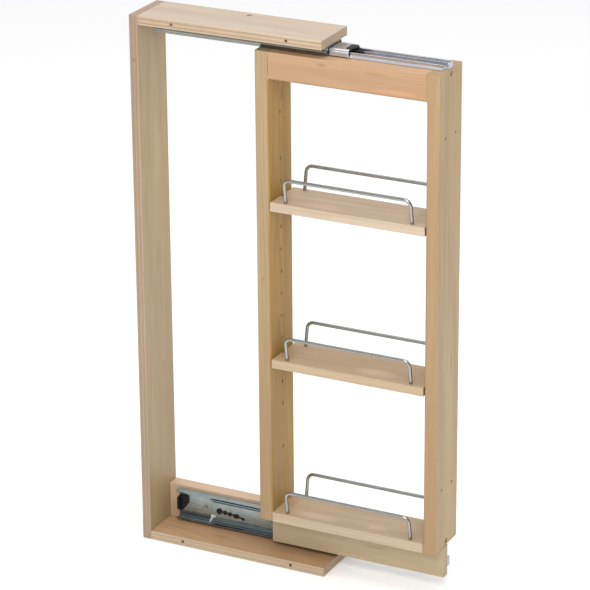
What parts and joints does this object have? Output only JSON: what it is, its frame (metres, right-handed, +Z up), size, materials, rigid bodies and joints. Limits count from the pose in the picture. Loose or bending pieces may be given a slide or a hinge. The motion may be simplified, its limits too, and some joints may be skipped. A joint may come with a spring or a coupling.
{
  "type": "pull-out cabinet filler",
  "caption": "Slim pull-out filler for a wall cabinet: an open wooden carriage with railed shelves slides out of a narrow plywood housing on ball-bearing runners.",
  "frame": {"origin": "middle of the housing's underside", "axes": "+Z up, +X across the narrow width from the near side to the side with the lower runner, -Y the way the carriage pulls out"},
  "size_m": [0.0762, 0.4476, 0.762],
  "materials": {
    "birch_ply": "clear satin lacquer on birch plywood, layered edges",
    "maple_support": "clear satin lacquer",
    "maple_frame": "clear satin lacquer on maple",
    "maple_shelf": "clear satin lacquer on maple",
    "beech_dowel": "plain",
    "zinc_steel": "bright zinc plating",
    "ball_steel": "polished",
    "screw_steel": "zinc plating",
    "clip_steel": "nickel plating",
    "chrome_wire": "satin chrome",
    "black_plastic": "moulded",
    "pale_plastic": "moulded"
  },
  "bodies": {
    "housing": {"back_panel": "birch_ply", "top_panel": "birch_ply", "bottom_panel": "birch_ply", "slide_support_rail": "maple_support", "housing_screws": "screw_steel", "support_rail_screws": "screw_steel", "upper_outer_member": "zinc_steel", "upper_outer_screws": "screw_steel", "upper_rear_bumper": "black_plastic", "lower_outer_member": "zinc_steel", "lower_outer_screws": "screw_steel", "lower_rear_bumper": "black_plastic"},
    "upper_middle": {"upper_middle_member": "zinc_steel", "upper_front_stop": "black_plastic", "upper_buffer_strip": "black_plastic", "upper_catch_tab": "pale_plastic"},
    "upper_outer_race": {"upper_outer_retainer": "zinc_steel", "upper_outer_balls": "ball_steel"},
    "upper_inner_race": {"upper_inner_retainer": "zinc_steel", "upper_inner_balls": "ball_steel"},
    "upper_lever": {"upper_release_lever": "black_plastic"},
    "lower_middle": {"lower_middle_member": "zinc_steel", "lower_front_stop": "black_plastic", "lower_buffer_strip": "black_plastic", "lower_catch_tab": "pale_plastic"},
    "lower_outer_race": {"lower_outer_retainer": "zinc_steel", "lower_outer_balls": "ball_steel"},
    "lower_inner_race": {"lower_inner_retainer": "zinc_steel", "lower_inner_balls": "ball_steel"},
    "lower_lever": {"lower_release_lever": "black_plastic"},
    "carriage": {"rear_stile": "maple_frame", "front_stile": "maple_frame", "top_rail": "maple_frame", "bottom_shelf": "maple_frame", "lower_rail": "maple_frame", "frame_screws": "screw_steel", "frame_dowels": "beech_dowel", "bottom_near_wire": "chrome_wire", "bottom_far_wire": "chrome_wire", "upper_shelf_clips": "clip_steel", "middle_shelf_clips": "clip_steel", "upper_inner_member": "zinc_steel", "upper_inner_screws": "screw_steel", "upper_lever_rivet": "screw_steel", "lower_inner_member": "zinc_steel", "lower_inner_screws": "screw_steel", "lower_lever_rivet": "screw_steel"},
    "upper_shelf": {"upper_shelf": "maple_shelf", "upper_near_wire": "chrome_wire", "upper_far_wire": "chrome_wire"},
    "middle_shelf": {"middle_shelf": "maple_shelf", "middle_near_wire": "chrome_wire", "middle_far_wire": "chrome_wire"}
  },
  "joints": [
    {"name": "upper_middle_slide", "type": "slide", "parent": "housing", "child": "upper_middle", "axis": [0, -1, 0], "range_m": [-0.03, 0.085]},
    {"name": "lower_middle_slide", "type": "slide", "parent": "housing", "child": "lower_middle", "axis": [0, -1, 0], "range_m": [-0.03, 0.085]},
    {"name": "upper_outer_race_slide", "type": "slide", "parent": "housing", "child": "upper_outer_race", "axis": [0, -1, 0], "range_m": [-0.015, 0.0425]},
    {"name": "lower_outer_race_slide", "type": "slide", "parent": "housing", "child": "lower_outer_race", "axis": [0, -1, 0], "range_m": [-0.015, 0.0425]},
    {"name": "carriage_slide", "type": "slide", "parent": "upper_middle", "child": "carriage", "axis": [0, -1, 0], "range_m": [-0.135, 0]},
    {"name": "upper_inner_race_slide", "type": "slide", "parent": "upper_middle", "child": "upper_inner_race", "axis": [0, -1, 0], "range_m": [-0.0675, 0]},
    {"name": "lower_inner_race_slide", "type": "slide", "parent": "lower_middle", "child": "lower_inner_race", "axis": [0, -1, 0], "range_m": [-0.0675, 0]},
    {"name": "upper_lever_pivot", "type": "hinge", "parent": "carriage", "child": "upper_lever", "pos_m": [0, -0.1443, 0.7406], "axis": [0, 0, 1], "range_deg": [0, 6], "stiffness_Nm_per_rad": 0.01},
    {"name": "lower_lever_pivot", "type": "hinge", "parent": "carriage", "child": "lower_lever", "pos_m": [0.0103, -0.1443, 0.0381], "axis": [1, 0, 0], "range_deg": [0, 6], "stiffness_Nm_per_rad": 0.01},
    {"name": "upper_shelf_lift", "type": "slide", "parent": "carriage", "child": "upper_shelf", "axis": [0, 0, 1], "range_m": [0, 0.096]},
    {"name": "middle_shelf_lift", "type": "slide", "parent": "carriage", "child": "middle_shelf", "axis": [0, 0, 1], "range_m": [0, 0.096]}
  ],
  "couplings": [
    {"joint": "lower_middle_slide", "follows": "upper_middle_slide", "ratio": 1},
    {"joint": "upper_outer_race_slide", "follows": "upper_middle_slide", "ratio": 0.5},
    {"joint": "lower_outer_race_slide", "follows": "upper_middle_slide", "ratio": 0.5},
    {"joint": "upper_inner_race_slide", "follows": "carriage_slide", "ratio": 0.5},
    {"joint": "lower_inner_race_slide", "follows": "carriage_slide", "ratio": 0.5}
  ]
}
